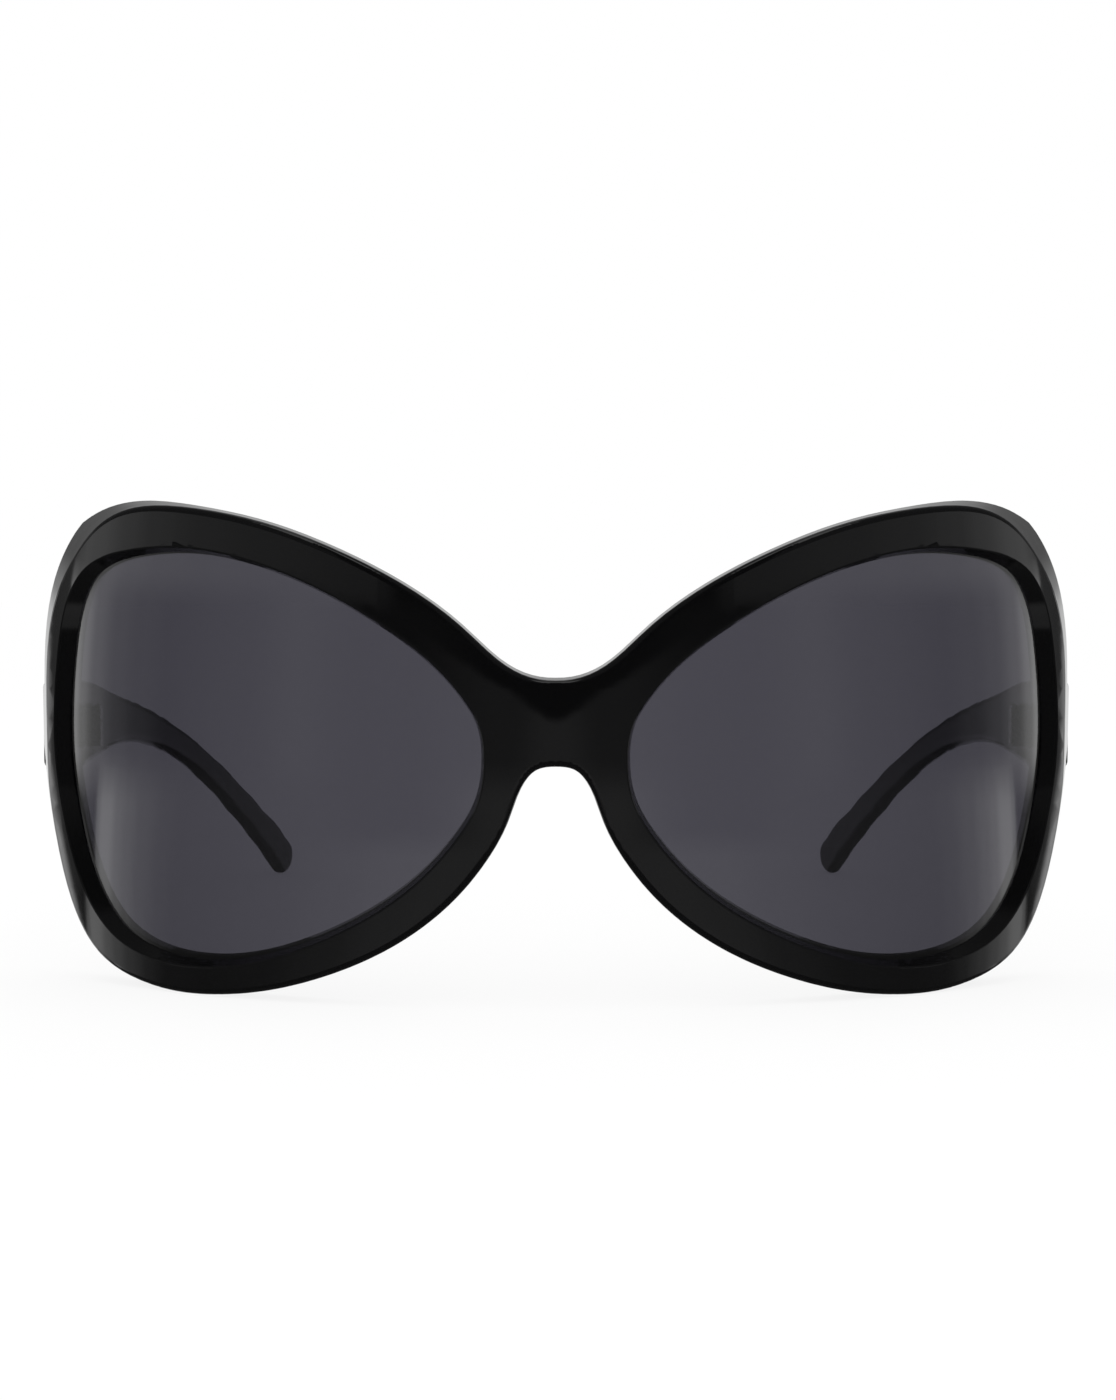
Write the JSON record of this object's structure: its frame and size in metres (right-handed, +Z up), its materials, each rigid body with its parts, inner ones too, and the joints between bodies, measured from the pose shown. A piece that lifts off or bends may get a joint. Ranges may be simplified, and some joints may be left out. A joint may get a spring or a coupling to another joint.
{
  "type": "butterfly sunglasses",
  "caption": "Oversized butterfly sunglasses: wrapped glossy front with smoke lenses and folding paddle temples on screw hinges.",
  "frame": {"origin": "on the table, under the middle of the open glasses' width and depth", "axes": "+X to the wearer's left, +Y back towards the ears, +Z up; the front faces -Y"},
  "size_m": [0.152, 0.155, 0.0701],
  "materials": {
    "front_plastic": "polished black injection moulding",
    "temple_plastic": "polished black injection moulding",
    "lens_smoke": "smoke grey moulded lens, polished, see-through",
    "hinge_metal": "satin nickel",
    "screw_metal": "turned steel"
  },
  "bodies": {
    "front": {"front_frame": "front_plastic", "lens_left": "lens_smoke", "lens_right": "lens_smoke", "hinge_front_leaf_left": "hinge_metal", "hinge_front_leaf_right": "hinge_metal", "hinge_screw_left": "screw_metal", "hinge_screw_right": "screw_metal"},
    "left_temple": {"temple_left": "temple_plastic", "hinge_temple_leaf_left": "hinge_metal"},
    "right_temple": {"temple_right": "temple_plastic", "hinge_temple_leaf_right": "hinge_metal"}
  },
  "joints": [
    {"name": "left_temple_fold", "type": "hinge", "parent": "front", "child": "left_temple", "pos_m": [0.06788, -0.03533, 0.03604], "axis": [0, 0, 1], "range_deg": [0, 88]},
    {"name": "right_temple_fold", "type": "hinge", "parent": "front", "child": "right_temple", "pos_m": [-0.06788, -0.03533, 0.03604], "axis": [0, 0, -1], "range_deg": [0, 80]}
  ]
}
